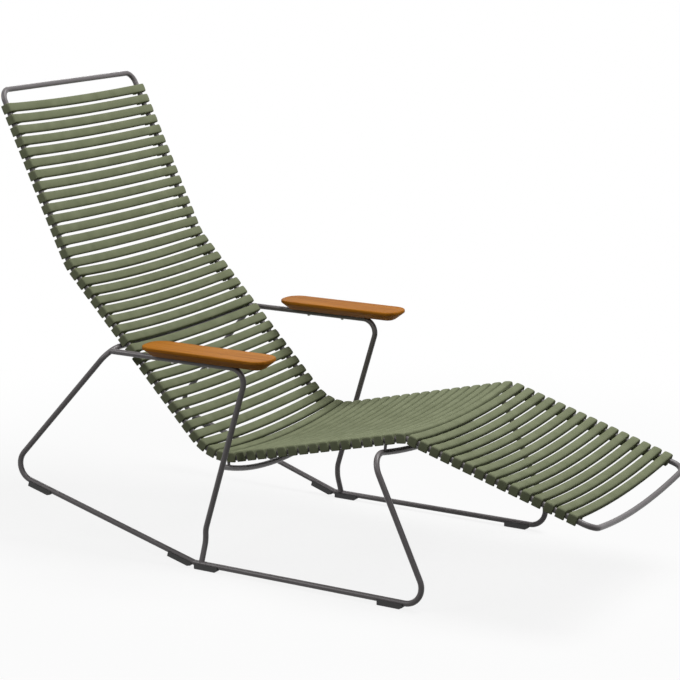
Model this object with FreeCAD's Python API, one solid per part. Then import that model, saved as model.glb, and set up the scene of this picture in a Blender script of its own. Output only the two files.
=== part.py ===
"""Rocking chaise lounge: bent steel tube base and seat frame, clip-on slats, wooden armrests, clip-on glides.

Millimetres, +Z up, standing on Z = 0. The length runs along X, head at -X and feet at +X, and the lounge is
symmetric about the XZ plane. At rest it stands on the four glides in front of the kinks in its runners.
Pushed back, it rolls over the kinks on to the four glides behind them. The pieces are drawn with X = 0 at
the kinks, and moved at the end so that the origin lies on the floor under the middle of the lounge.
"""
import FreeCAD, Part
import math
import os

# Tube
TUBE_D = 13.0
TUBE_SIDES = 8                   # flats in place of a circle keep the long bends light
STUB_SIDES = 6
STUB_CLEARANCE = 0.2             # between a stub and the slats on each side of it
COPE_DEPTH = 3.5                 # a coped end stops this far short of the other tube's centre line

# Seat frame, side view, from the hollow of the seat to the head and to the feet
RAIL_HALF_SPAN = 257.0
HOLLOW_X = 16.0
HOLLOW_HEIGHT = 238.9
LOWER_BACK_LENGTH = 559.9
LOWER_BACK_ANGLE = 46.6
UPPER_BACK_LENGTH = 434.4
UPPER_BACK_ANGLE = 64.6
SEAT_LENGTH = 504.6
SEAT_ANGLE = 13.7
LEG_REST_LENGTH = 451.2
LEG_REST_ANGLE = 17.0
BACK_BEND_R = 120.0
HOLLOW_R = 117.0
KNEE_R = 65.0
RAIL_CORNER_R = 27.0
FOOT_RAIL_SLOPE = 10.3           # slope of the sagging foot rail at its ends
FRAME_JOINT_REACH = 180.0        # the halves meet at the slat nearest to this, from the hollow's bend

# Base hoops, left-hand side (+Y)
RUNNER_OUTSET = 19.5             # runners beyond the arms
TOE_X = 597.6
FRONT_LEG_REACH = 146.3
FRONT_BAR_GAP = 13.6             # from the line of the seat rails to the front hoop's shoulders
FRONT_BAR_SLOPE = 11.4
HEEL_X = -497.0
HEEL_RISE = 151.5
HEEL_SPLAY = 28.5
SHOULDER_OUTSET = 8.5            # rear hoop's shoulders beyond the arms
SHOULDER_RISE = 7.8              # and above them
TOP_BAR_CLEARANCE = 0.8          # from the top bar to the slats' end blocks
TOP_BAR_SLOPE = 5.0
KINK_R = 20.0
BASE_BEND_R = 40.0

# Arm tubes, posts and the cross bar between them
ARM_OUTSET = 39.5                # arms beyond the seat rails
ARM_HEIGHT = 469.5
ARM_START_SETBACK = 3.0          # the arm starts this far behind the rear hoop's corner
ARM_FRONT_X = 134.0
ARM_BEND_R = 32.0
POST_X = 19.0
POST_STRAIGHT_HEIGHT = 88.0
POST_SPLAY_HEIGHT = 62.0
POST_BEND_R = 60.0
LOWER_BAR_RISE = 2.1             # ends of the bar above the hollow of the seat
LOWER_BAR_SLOPE = 20.6

# Slats
SLAT_PITCH = 27.5                # as near as whole slats fill the rails
SLAT_WIDTH = 20.4
SLAT_OVERHANG = 11.6             # beyond the rail's centre line
SLAT_COVER = 7.9                 # flat ends above the clip seat
SLAT_SAG = 17.3
SLAT_FLAT = 32.6                 # flat stretch at each end
SLAT_THICKNESS = 8.5
HEAD_GAP = 45.9                  # head rail to first slat, between centres
FOOT_GAP = 47.7
TOP_CHORDS = 3
BOTTOM_CHORDS = 3

# Clip-on end blocks
BLOCK_LENGTH = 23.6
BLOCK_SKIRT = 2.0                # below the rail
CLIP_CLEARANCE = 0.4
CLIP_LIP = 0.4                   # how far each lip reaches in over the rail
HAUNCH_LENGTH = 32.0

# Armrests
ARMREST_LENGTH = 330.0
ARMREST_WIDTH = 84.0
ARMREST_THICKNESS = 24.0
ARMREST_X = 32.0
ARMREST_CORNER_R = 36.0
ARMREST_EDGE = 7.0               # upright band above the underside's bevel
ARMREST_BEVEL = 22.0

# Glides
GLIDE_LENGTH = 62.0
GLIDE_WALL = 2.5                 # beside the runner
GLIDE_SOLE = 6.5                 # under the runner
GLIDE_NOSE = 8.0
GLIDE_NOSE_RISE = 5.0
GLIDE_SOLE_EASE = 2.0
GLIDE_CLEARANCE = 0.3
GLIDE_KINK_GAP = 4.0
GLIDE_BEND_GAP = 1.0

# Sizes that follow from these
TUBE_R = TUBE_D / 2
STUB_D = SLAT_PITCH - SLAT_WIDTH - 2 * STUB_CLEARANCE
ARM_HALF_SPAN = RAIL_HALF_SPAN + ARM_OUTSET
RUNNER_HALF_SPAN = ARM_HALF_SPAN + RUNNER_OUTSET
LOWER_BAR_HEIGHT = HOLLOW_HEIGHT + LOWER_BAR_RISE
SLAT_HALF_LENGTH = RAIL_HALF_SPAN + SLAT_OVERHANG
SLAT_TOP = TUBE_R + CLIP_CLEARANCE + SLAT_COVER
BLOCK_DEPTH = TUBE_R + BLOCK_SKIRT
GLIDE_WIDTH = TUBE_D + 2 * GLIDE_WALL
GLIDE_DEPTH = TUBE_R + GLIDE_SOLE
RUNNER_HEIGHT = GLIDE_DEPTH
HOOP_JOINT_X = GLIDE_KINK_GAP + GLIDE_LENGTH / 2    # the hoops are butt-joined inside a glide
SIDEWAYS = FreeCAD.Vector(0, 1, 0)
UPWARDS = FreeCAD.Vector(0, 0, 1)


def point(x, y, z):
    return FreeCAD.Vector(x, y, z)


def polar(length, degrees):
    """A step in the XZ plane."""
    angle = math.radians(degrees)
    return point(length * math.cos(angle), 0, length * math.sin(angle))


def at_side(place, y):
    return point(place.x, y, place.z)


def mirrored(place):
    return point(place.x, -place.y, place.z)


def other_side(shape):
    return shape.mirror(point(0, 0, 0), SIDEWAYS)


def direction(start, end):
    return (end - start).normalize()


def half_turn(before, corner, after):
    return direction(before, corner).getAngle(direction(corner, after)) / 2


def setback(before, corner, after, radius):
    """Distance from a corner to where its bend begins."""
    return radius * math.tan(half_turn(before, corner, after))


def bent_line(corners, radii):
    """Straight runs joined by arcs. A bend with no radius is as large as the runs beside it allow."""
    last = len(corners) - 1
    setbacks = [0.0] * len(corners)
    for i, radius in enumerate(radii, start=1):
        if radius is not None:
            setbacks[i] = setback(corners[i - 1], corners[i], corners[i + 1], radius)
    for i, radius in enumerate(radii, start=1):
        if radius is None:
            before = (corners[i] - corners[i - 1]).Length - setbacks[i - 1]
            after = (corners[i + 1] - corners[i]).Length - setbacks[i + 1]
            setbacks[i] = min(before, after)
    edges = []
    reached = corners[0]
    for i in range(1, last):
        arriving = direction(corners[i - 1], corners[i])
        leaving = direction(corners[i], corners[i + 1])
        quarter = half_turn(corners[i - 1], corners[i], corners[i + 1]) / 2
        inward = (leaving - arriving).normalize()
        bend_start = corners[i] - arriving * setbacks[i]
        bend_middle = corners[i] + inward * setbacks[i] * math.tan(quarter)
        bend_end = corners[i] + leaving * setbacks[i]
        if (bend_start - reached).Length > 0.001:
            edges.append(Part.makeLine(reached, bend_start))
        edges.append(Part.Arc(bend_start, bend_middle, bend_end).toShape())
        reached = bend_end
    if (corners[last] - reached).Length > 0.001:
        edges.append(Part.makeLine(reached, corners[last]))
    return Part.Wire(edges)


def flat_sided_ring(centre, along, width, sides):
    """A regular polygon across the line, one flat to each side and one on top."""
    sideways = along.cross(UPWARDS)
    if sideways.Length < 0.01:
        sideways = SIDEWAYS
    sideways = sideways.normalize()
    upwards = sideways.cross(along)
    radius = width / 2 / math.cos(math.pi / sides)
    ring = []
    for i in range(sides + 1):
        angle = 2 * math.pi * (i + 0.5) / sides
        ring.append(centre + sideways * (radius * math.cos(angle)) + upwards * (radius * math.sin(angle)))
    return Part.makePolygon(ring)


def tube_along(line):
    first = line.OrderedEdges[0]
    start = first.valueAt(first.FirstParameter)
    along = first.tangentAt(first.FirstParameter)
    ring = flat_sided_ring(start, along, TUBE_D, TUBE_SIDES)
    return line.makePipeShell([ring], True, False)


def coped(piece, *others):
    """The piece with its ends cut to fit the tubes that it is welded to."""
    for other in others:
        piece = piece.cut(other)
    return max(piece.Solids, key=lambda solid: solid.Volume)


def both_sides(corners):
    """The corners of the left-hand side, and then the same on the right, back to the start."""
    return corners + [mirrored(corner) for corner in reversed(corners)]


def sag_corner(corner, slope, down):
    """Where the two end slopes of a sagging cross bar would meet, under the middle."""
    return at_side(corner, 0) + down * (corner.y * math.tan(math.radians(slope)))


def station(line, distance):
    """The place and the heading at a distance along a line."""
    for edge in line.OrderedEdges:
        if distance <= edge.Length:
            parameter = edge.getParameterByLength(distance)
            return edge.valueAt(parameter), edge.tangentAt(parameter)
        distance -= edge.Length
    raise ValueError("the station lies beyond the line's end")


# Seat frame
HOLLOW = point(HOLLOW_X, 0, HOLLOW_HEIGHT)
BACK_BEND = HOLLOW + polar(LOWER_BACK_LENGTH, 180 - LOWER_BACK_ANGLE)
HEAD = BACK_BEND + polar(UPPER_BACK_LENGTH, 180 - UPPER_BACK_ANGLE)
KNEE = HOLLOW + polar(SEAT_LENGTH, SEAT_ANGLE)
FOOT = KNEE + polar(LEG_REST_LENGTH, -LEG_REST_ANGLE)
RAIL_LINE = bent_line([HEAD, BACK_BEND, HOLLOW, KNEE, FOOT], [BACK_BEND_R, HOLLOW_R, KNEE_R])

SLAT_RUN = RAIL_LINE.Length - HEAD_GAP - FOOT_GAP
SLAT_COUNT = round(SLAT_RUN / SLAT_PITCH) + 1


def slat_station(number):
    """Distance along the rails of a slat, counted from the head."""
    return HEAD_GAP + SLAT_RUN * (number - 1) / (SLAT_COUNT - 1)


def on_rail(place):
    return at_side(place, RAIL_HALF_SPAN)


def frame_joint():
    """Where the two halves of the seat frame meet, inside the end blocks of a slat on the seat."""
    seat_start = sum(edge.Length for edge in RAIL_LINE.OrderedEdges[:4])
    wanted = seat_start + FRAME_JOINT_REACH
    numbers = range(1, SLAT_COUNT + 1)
    nearest = min(numbers, key=lambda number: abs(slat_station(number) - wanted))
    place, _ = station(RAIL_LINE, slat_station(nearest))
    return on_rail(place)


def back_frame():
    """The U of head rail and back rails, down to the joint in the seat."""
    corners = both_sides([frame_joint(), on_rail(HOLLOW), on_rail(BACK_BEND), on_rail(HEAD)])
    side = [HOLLOW_R, BACK_BEND_R, RAIL_CORNER_R]
    return tube_along(bent_line(corners, side + side[::-1]))


def front_frame():
    """The U of seat rails, leg rest rails and foot rail. The foot rail sags square to the leg rest."""
    down = polar(1, -90 - LEG_REST_ANGLE)
    side = [frame_joint(), on_rail(KNEE), on_rail(FOOT)]
    middle = sag_corner(on_rail(FOOT), FOOT_RAIL_SLOPE, down)
    corners = side + [middle] + [mirrored(corner) for corner in reversed(side)]
    return tube_along(bent_line(corners, [KNEE_R, RAIL_CORNER_R, None, RAIL_CORNER_R, KNEE_R]))


# Base
HOOP_JOINT = point(HOOP_JOINT_X, RUNNER_HALF_SPAN, RUNNER_HEIGHT)
KINK = point(0, RUNNER_HALF_SPAN, RUNNER_HEIGHT)
TOE = point(TOE_X, RUNNER_HALF_SPAN, RUNNER_HEIGHT)
HEEL = KINK + point(HEEL_X, HEEL_SPLAY, HEEL_RISE)


def front_shoulder():
    """The front hoop's corner, at its gap under the line of the seat rails."""
    x = TOE_X - FRONT_LEG_REACH
    under_hollow = HOLLOW + polar(FRONT_BAR_GAP, SEAT_ANGLE - 90)
    rise = (x - under_hollow.x) * math.tan(math.radians(SEAT_ANGLE))
    return point(x, RUNNER_HALF_SPAN, under_hollow.z + rise)


def rear_shoulder():
    """The rear hoop's corner, above the arm, where the bowed top bar clears the ends of the slats."""
    y = ARM_HALF_SPAN + SHOULDER_OUTSET
    z = ARM_HEIGHT + SHOULDER_RISE
    bow_at_slat_ends = (y - SLAT_HALF_LENGTH) * math.tan(math.radians(TOP_BAR_SLOPE))
    behind_rails = BLOCK_DEPTH + TOP_BAR_CLEARANCE + TUBE_R - bow_at_slat_ends
    behind_hollow = HOLLOW + polar(behind_rails, -90 - LOWER_BACK_ANGLE)
    reach = (z - behind_hollow.z) / math.tan(math.radians(LOWER_BACK_ANGLE))
    return point(behind_hollow.x - reach, y, z)


FRONT_SHOULDER = front_shoulder()
REAR_SHOULDER = rear_shoulder()


def front_hoop_line():
    """Runner, leg and sagging cross bar. The bar sags in the plane of the two legs."""
    down = direction(FRONT_SHOULDER, TOE)
    side = [HOOP_JOINT, TOE, FRONT_SHOULDER]
    middle = sag_corner(FRONT_SHOULDER, FRONT_BAR_SLOPE, down)
    corners = side + [middle] + [mirrored(corner) for corner in reversed(side)]
    return bent_line(corners, [BASE_BEND_R, BASE_BEND_R, None, BASE_BEND_R, BASE_BEND_R])


def rear_hoop_line():
    """Kink, rear runner, rear leg and top cross bar, which bows away from the slats of the back."""
    away = polar(1, -90 - LOWER_BACK_ANGLE)
    side = [HOOP_JOINT, KINK, HEEL, REAR_SHOULDER]
    middle = sag_corner(REAR_SHOULDER, TOP_BAR_SLOPE, away)
    corners = side + [middle] + [mirrored(corner) for corner in reversed(side)]
    bends = [KINK_R, BASE_BEND_R, BASE_BEND_R]
    return bent_line(corners, bends + [None] + bends[::-1])


def arm_corners():
    start = point(REAR_SHOULDER.x - ARM_START_SETBACK, ARM_HALF_SPAN, ARM_HEIGHT)
    front = point(ARM_FRONT_X, ARM_HALF_SPAN, ARM_HEIGHT)
    ankle = point(POST_X, ARM_HALF_SPAN, POST_STRAIGHT_HEIGHT)
    splay = point(POST_X, ARM_HALF_SPAN, POST_SPLAY_HEIGHT)
    foot = point(POST_X, RUNNER_HALF_SPAN, RUNNER_HEIGHT)
    return [start, front, ankle, splay, foot - direction(splay, foot) * COPE_DEPTH]


def arm_line():
    """Arm, front bend and post, down to the runner."""
    return bent_line(arm_corners(), [ARM_BEND_R, POST_BEND_R, POST_BEND_R])


def lower_bar_line():
    """A cross bar between the posts, which sags in their plane."""
    _, front, ankle, _, _ = arm_corners()
    down = direction(front, ankle)
    on_post = front + down * ((front.z - LOWER_BAR_HEIGHT) / -down.z)
    middle = sag_corner(on_post, LOWER_BAR_SLOPE, down)
    end = on_post + direction(on_post, middle) * COPE_DEPTH
    return bent_line([end, middle, mirrored(end)], [None])


def gap_middles():
    """The middles of the gaps between slats, on the left-hand rail."""
    distances = [(slat_station(n) + slat_station(n + 1)) / 2 for n in range(1, SLAT_COUNT)]
    return [on_rail(station(RAIL_LINE, distance)[0]) for distance in distances]


def stub(bar_line, bar, frame):
    """A rod from a cross bar to the rail above it, at the nearest gap between slats."""
    found = [Part.Vertex(gap).distToShape(bar_line) for gap in gap_middles()]
    _, ends, _ = min(found, key=lambda result: result[0])
    top, bottom = ends[0]
    ring = flat_sided_ring(bottom, direction(bottom, top), STUB_D, STUB_SIDES)
    return coped(Part.Face(ring).extrude(top - bottom), bar, frame)


# Slats
def slat_top(y):
    """Height of the slat's upper side: flat at the ends, an arc between them."""
    reach = SLAT_HALF_LENGTH - SLAT_FLAT
    radius = (reach ** 2 + SLAT_SAG ** 2) / (2 * SLAT_SAG)
    return SLAT_TOP - SLAT_SAG + radius - math.sqrt(radius ** 2 - min(abs(y), reach) ** 2)


def chord_ends(reach, chords):
    return [reach - 2 * reach * i / chords for i in range(chords + 1)]


def end_block_outline():
    """Left-hand end of a slat, from its top corner, down and through the clip seat, to the haunch."""
    seat = TUBE_R + CLIP_CLEARANCE
    shoulder = seat * math.tan(math.pi / 8)
    mouth = TUBE_R - CLIP_LIP
    inner = SLAT_HALF_LENGTH - BLOCK_LENGTH
    haunch = inner - HAUNCH_LENGTH
    beside_rail = [(mouth, -BLOCK_DEPTH), (seat, shoulder), (shoulder, seat)]
    outline = [(SLAT_HALF_LENGTH, SLAT_TOP), (SLAT_HALF_LENGTH, -BLOCK_DEPTH)]
    outline += [(RAIL_HALF_SPAN + side, height) for side, height in beside_rail]
    outline += [(RAIL_HALF_SPAN - side, height) for side, height in reversed(beside_rail)]
    outline += [(inner, -BLOCK_DEPTH), (haunch, slat_top(haunch) - SLAT_THICKNESS)]
    return outline


def slat():
    """One slat across the rails, drawn about the rails' centre lines with X along them."""
    left = end_block_outline()
    haunch = left[-1][0]
    right = [(-y, z) for y, z in reversed(left)]
    underside = [(y, slat_top(y) - SLAT_THICKNESS) for y in chord_ends(haunch, BOTTOM_CHORDS)[1:-1]]
    upper = [(-y, slat_top(y)) for y in chord_ends(SLAT_HALF_LENGTH - SLAT_FLAT, TOP_CHORDS)]
    outline = left + underside + right + upper
    corners = [point(-SLAT_WIDTH / 2, y, z) for y, z in outline]
    return Part.Face(Part.makePolygon(corners + corners[:1])).extrude(point(SLAT_WIDTH, 0, 0))


def placed_slat(pattern, number):
    place, heading = station(RAIL_LINE, slat_station(number))
    turn = FreeCAD.Rotation(point(1, 0, 0), heading)
    slat_copy = pattern.copy()
    slat_copy.Placement = FreeCAD.Placement(place, turn)
    return slat_copy


def slat_zones():
    """Slats by the stretch of the frame that they lie on, parted at the middle of each bend."""
    lengths = [edge.Length for edge in RAIL_LINE.OrderedEdges]
    names = ["upper_back_slats", "lower_back_slats", "seat_slats", "leg_rest_slats"]
    bend_middles = [sum(lengths[:i]) + lengths[i] / 2 for i in (1, 3, 5)]
    pattern = slat()
    zones = {name: [] for name in names}
    for number in range(1, SLAT_COUNT + 1):
        stretch = sum(slat_station(number) > middle for middle in bend_middles)
        zones[names[stretch]].append(placed_slat(pattern, number))
    return {name: Part.makeCompound(slats) for name, slats in zones.items()}


# Armrests
def armrest():
    """A board with round corners and a deep bevel all round its underside, on top of the arm tube."""
    bottom = ARM_HEIGHT + TUBE_R
    board = Part.makeBox(
        ARMREST_LENGTH,
        ARMREST_WIDTH,
        ARMREST_THICKNESS,
        point(ARMREST_X - ARMREST_LENGTH / 2, ARM_HALF_SPAN - ARMREST_WIDTH / 2, bottom),
    )
    board = board.makeFillet(ARMREST_CORNER_R, [edge for edge in board.Edges if edge.BoundBox.ZLength > 1])
    underside = min(board.Faces, key=lambda face: face.CenterOfMass.z)
    return board.makeChamfer(ARMREST_THICKNESS - ARMREST_EDGE, ARMREST_BEVEL, underside.Edges)


# Glides
def glide():
    """A channel round the runner's lower half, drawn about its centre line, with its nose at +X."""
    half = GLIDE_WIDTH / 2
    seat = TUBE_R + GLIDE_CLEARANCE
    shoulder = seat * math.tan(math.pi / 8)
    half_outline = [
        (shoulder, -seat),
        (seat, -shoulder),
        (seat, 0),
        (half, 0),
        (half, GLIDE_SOLE_EASE - GLIDE_DEPTH),
        (half - GLIDE_SOLE_EASE, -GLIDE_DEPTH),
    ]
    outline = half_outline + [(-y, z) for y, z in reversed(half_outline)]
    corners = [point(0, y, z) for y, z in outline]
    channel = Part.Face(Part.makePolygon(corners + corners[:1])).extrude(point(GLIDE_LENGTH, 0, 0))
    nose = [
        point(GLIDE_LENGTH - GLIDE_NOSE, -half, -GLIDE_DEPTH),
        point(GLIDE_LENGTH, -half, -GLIDE_DEPTH),
        point(GLIDE_LENGTH, -half, GLIDE_NOSE_RISE - GLIDE_DEPTH),
    ]
    return channel.cut(Part.Face(Part.makePolygon(nose + nose[:1])).extrude(point(0, GLIDE_WIDTH, 0)))


def glide_on(start, end, distance):
    """A glide on the straight runner between two corners, its heel at a distance from the first."""
    ahead = direction(start, end)
    sideways = UPWARDS.cross(ahead).normalize()
    turn = FreeCAD.Rotation(ahead, sideways, ahead.cross(sideways), "XYZ")
    piece = glide()
    piece.Placement = FreeCAD.Placement(start + ahead * distance, turn)
    return piece


def glides():
    toe_bend = setback(KINK, TOE, FRONT_SHOULDER, BASE_BEND_R)
    heel_bend = setback(KINK, HEEL, REAR_SHOULDER, BASE_BEND_R)
    rear_length = (HEEL - KINK).Length
    return {
        "toe_glide": glide_on(KINK, TOE, TOE_X - toe_bend - GLIDE_BEND_GAP - GLIDE_LENGTH),
        "front_kink_glide": glide_on(KINK, TOE, GLIDE_KINK_GAP),
        "rear_kink_glide": glide_on(HEEL, KINK, rear_length - GLIDE_KINK_GAP - GLIDE_LENGTH),
        "heel_glide": glide_on(HEEL, KINK, heel_bend + GLIDE_BEND_GAP),
    }


def build():
    """Every piece by its name, in the drawing's own frame."""
    back = back_frame()
    front = front_frame()
    front_hoop = tube_along(front_hoop_line())
    rear_hoop = tube_along(rear_hoop_line())
    arm = coped(tube_along(arm_line()), rear_hoop)
    arms = [arm, other_side(arm)]
    lower_bar = coped(tube_along(lower_bar_line()), *arms)
    left = {
        "arm_tube": arm,
        "armrest": armrest(),
        "top_stub": stub(rear_hoop_line(), rear_hoop, back),
        "lower_stub": stub(lower_bar_line(), lower_bar, back),
        "front_stub": stub(front_hoop_line(), front_hoop, front),
    }
    left.update(glides())
    pieces = {
        "back_frame": back,
        "front_frame": front,
        "front_hoop": front_hoop,
        "rear_hoop": rear_hoop,
        "lower_bar": lower_bar,
    }
    for name, shape in left.items():
        pieces["left_" + name] = shape
        pieces["right_" + name] = other_side(shape)
    pieces.update(slat_zones())
    return pieces


def main():
    os.makedirs("parts", exist_ok=True)
    pieces = build()
    box = Part.makeCompound(list(pieces.values())).BoundBox
    for name, shape in pieces.items():
        shape.translated(point(-box.Center.x, 0, 0)).exportStep("parts/" + name + ".step")
    print(len(pieces), "pieces,", SLAT_COUNT, "slats,", "length", round(box.XLength, 1), "width",
          round(box.YLength, 1), "height", round(box.ZLength, 1))


main()
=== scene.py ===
"""Looks of a rocking chaise lounge: bent tube frame, clip-on slats, wooden armrests and clip-on glides.

Sizes are in millimetres and angles in degrees, in the drawing's own frame: X = 0 at the kinks of the
runners, Y = 0 in the lounge's middle plane and Z = 0 on the floor. The bench turns them into metres and
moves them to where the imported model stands, which it reads from the front hoop's rear end.
"""

import logging
import math
from abc import ABC, abstractmethod
from dataclasses import dataclass
from enum import Enum
from typing import ClassVar, Iterable, Sequence

import bpy
import numpy as np
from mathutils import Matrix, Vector


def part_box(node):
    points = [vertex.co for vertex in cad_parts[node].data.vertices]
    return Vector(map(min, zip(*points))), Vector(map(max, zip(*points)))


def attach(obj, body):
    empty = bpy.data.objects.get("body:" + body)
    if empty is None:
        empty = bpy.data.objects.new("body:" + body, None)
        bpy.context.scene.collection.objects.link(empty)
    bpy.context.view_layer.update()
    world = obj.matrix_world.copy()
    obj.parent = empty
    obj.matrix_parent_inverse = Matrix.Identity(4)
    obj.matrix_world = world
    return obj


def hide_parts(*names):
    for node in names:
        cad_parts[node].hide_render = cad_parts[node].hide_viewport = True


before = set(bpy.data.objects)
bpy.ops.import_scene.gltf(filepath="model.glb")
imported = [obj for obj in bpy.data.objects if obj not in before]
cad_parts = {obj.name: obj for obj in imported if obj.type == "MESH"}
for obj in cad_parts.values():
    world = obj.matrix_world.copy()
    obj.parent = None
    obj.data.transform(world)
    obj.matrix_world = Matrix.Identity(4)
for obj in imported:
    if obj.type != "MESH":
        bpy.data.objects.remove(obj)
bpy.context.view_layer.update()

LOG = logging.getLogger("chaise_lounge")
METRES_PER_MM = 0.001
TUBE_RADIUS = 6.5             # the outer radius of every bent tube
SAME_PLACE_MM = 0.001         # points closer than this are one point
WIDE_ARC_PIECES = 24          # the fewest pieces in an arc that fills the runs beside it
SMALL_CORNER_STEP = 20.0      # degrees in a piece of an arc that is too small to show its facets
UPRIGHT = 0.9                 # a unit vector with this much Z counts as upright
UP = np.array([0.0, 0.0, 1.0])
SIDEWAYS = np.array([0.0, 1.0, 0.0])
MIX_SHARE, MIX_FIRST, MIX_SECOND = 0, 6, 7    # inputs of a Mix node that mixes colours
MIX_RESULT = 2                                # its output

# A shader's plain values, and the outputs that feed its other sockets
ShaderSockets = tuple[dict[str, object], dict[str, bpy.types.NodeSocket]]
# Points, one row each, and the numbers of the points round each face
Surface = tuple[np.ndarray, list[list[int]]]


class Side(Enum):
    """The sitter's two sides, with the sign of their Y."""

    LEFT = 1
    RIGHT = -1

    def node(self, name: str) -> str:
        """A node's name on this side."""
        return f"{self.name.lower()}_{name}"

    def version_of(self, left: Surface) -> Surface:
        """A left-hand surface as it stands on this side."""
        return left[0] * np.array([1.0, self.value, 1.0]), left[1]


class Slot(Enum):
    """The record's material slots."""

    STEEL = "frame_steel"
    SLATS = "slat_plastic"
    WOOD = "armrest_wood"
    GLIDES = "glide_plastic"


# Lines and surfaces


def unit(vectors: np.ndarray) -> np.ndarray:
    """Each row of an array, brought to length one."""
    return vectors / np.linalg.norm(vectors, axis=-1, keepdims=True)


def polar(length: float, degrees: float) -> np.ndarray:
    """A step of that length in the XZ plane, turned up from +X by an angle."""
    angle = math.radians(degrees)
    return np.array([length * math.cos(angle), 0.0, length * math.sin(angle)])


def turn_between(before: np.ndarray, corner: np.ndarray, after: np.ndarray) -> float:
    """The angle, in radians, by which a line turns at a corner."""
    cosine = float(np.dot(unit(corner - before), unit(after - corner)))
    return math.acos(max(-1.0, min(1.0, cosine)))


def bent_line(corners: Sequence[np.ndarray], radii: Sequence[float | None], step: float = 4.0) -> np.ndarray:
    """Straight runs joined by arcs, as points.

    An arc of radius r begins r tan(a / 2) before its corner, where a is the turn there. Its points lie at
    centre + (sin(a - t) first arm + sin(t) last arm) / sin(a), for t from 0 to a.

    Args:
        corners: The corners, in two or three dimensions, with both ends.
        radii: A radius for each inner corner, or None for the largest that the runs beside it have room for.
        step: The most that a piece of an arc turns, in degrees.

    Returns:
        The points of the line, one row each.
    """
    corners = [np.asarray(corner, dtype=float) for corner in corners]
    turns = [turn_between(*corners[i:i + 3]) for i in range(len(radii))]
    setbacks = [0.0] + [0.0 if r is None else r * math.tan(a / 2) for r, a in zip(radii, turns)] + [0.0]
    for i, radius in enumerate(radii, start=1):
        if radius is None:
            before = np.linalg.norm(corners[i] - corners[i - 1]) - setbacks[i - 1]
            after = np.linalg.norm(corners[i + 1] - corners[i]) - setbacks[i + 1]
            setbacks[i] = float(min(before, after))
    runs = [corners[0][None]]
    for i, turn in enumerate(turns, start=1):
        arriving = unit(corners[i] - corners[i - 1])
        leaving = unit(corners[i + 1] - corners[i])
        start = corners[i] - arriving * setbacks[i]
        end = corners[i] + leaving * setbacks[i]
        centre = corners[i] + unit(leaving - arriving) * setbacks[i] / math.sin(turn / 2)
        fewest = WIDE_ARC_PIECES if radii[i - 1] is None else 2
        pieces = max(math.ceil(math.degrees(turn) / step), fewest)
        t = np.linspace(0.0, turn, pieces + 1)[:, None]
        arc = centre + (np.sin(turn - t) * (start - centre) + np.sin(t) * (end - centre)) / math.sin(turn)
        runs.append(arc)
    runs.append(corners[-1][None])
    points = np.concatenate(runs)
    apart = np.linalg.norm(np.diff(points, axis=0), axis=1) > SAME_PLACE_MM
    return points[np.concatenate([[True], apart])]


def headings(path: np.ndarray) -> np.ndarray:
    """The direction of a path at each of its points, midway between those of the pieces that meet there."""
    pieces = unit(np.diff(path, axis=0))
    return unit(np.concatenate([pieces[:1], pieces[:-1] + pieces[1:], pieces[-1:]]))


def grid_faces(rows: int, columns: int) -> list[list[int]]:
    """Quads between the neighbouring rows of a grid whose rows close on themselves.

    Args:
        rows: How many rows the grid has.
        columns: How many points a row has.

    Returns:
        The corner numbers of each quad.
    """
    start = np.arange(rows - 1)[:, None] * columns
    here = np.arange(columns)[None, :]
    there = (here + 1) % columns
    corners = [start + here, start + there, start + columns + there, start + columns + here]
    return np.stack(corners, axis=-1).reshape(-1, 4).tolist()


def capped_grid(grid: np.ndarray) -> Surface:
    """The points and faces of a grid of closed rows, shut at both ends by a face.

    Args:
        grid: Points as rows, columns and coordinates.

    Returns:
        The points, one row each, and the faces.
    """
    rows, columns = grid.shape[:2]
    faces = grid_faces(rows, columns)
    faces.append(list(range(columns))[::-1])
    faces.append(list(range((rows - 1) * columns, rows * columns)))
    return grid.reshape(-1, 3), faces


def tube_surface(path: np.ndarray, radius: float, sides: int = 28) -> Surface:
    """A circle carried along a path.

    Ring points are centre + r (cos(t) side + sin(t) other side). The side direction is carried from ring to
    ring by taking away the part of it that lies along the path, so the rings never twist.

    Args:
        path: The tube's centre line.
        radius: The tube's outer radius.
        sides: Points in a ring.

    Returns:
        The points and the faces.
    """
    along = headings(path)
    side = np.empty_like(path)
    carried = np.cross(along[0], UP if abs(along[0][2]) < UPRIGHT else SIDEWAYS)
    for i, heading in enumerate(along):
        carried = unit(carried - heading * np.dot(carried, heading))
        side[i] = carried
    other = np.cross(along, side)
    t = np.linspace(0.0, 2 * math.pi, sides, endpoint=False)[None, :, None]
    grid = path[:, None] + radius * (np.cos(t) * side[:, None] + np.sin(t) * other[:, None])
    return capped_grid(grid)


def outward_normals(outline: np.ndarray) -> np.ndarray:
    """Directions square to a closed outline in a plane, pointing out of it.

    The outline's area, as half the sum of x y' - x' y over its pieces, tells which way it runs.

    Args:
        outline: A closed outline, one point a row.

    Returns:
        A unit vector for each point.
    """
    ahead = np.roll(outline, -1, axis=0)
    behind = np.roll(outline, 1, axis=0)
    along = unit(unit(ahead - outline) + unit(outline - behind))
    twice_area = np.sum(outline[:, 0] * ahead[:, 1] - ahead[:, 0] * outline[:, 1])
    return np.stack([along[:, 1], -along[:, 0]], axis=1) * np.sign(twice_area)


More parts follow.
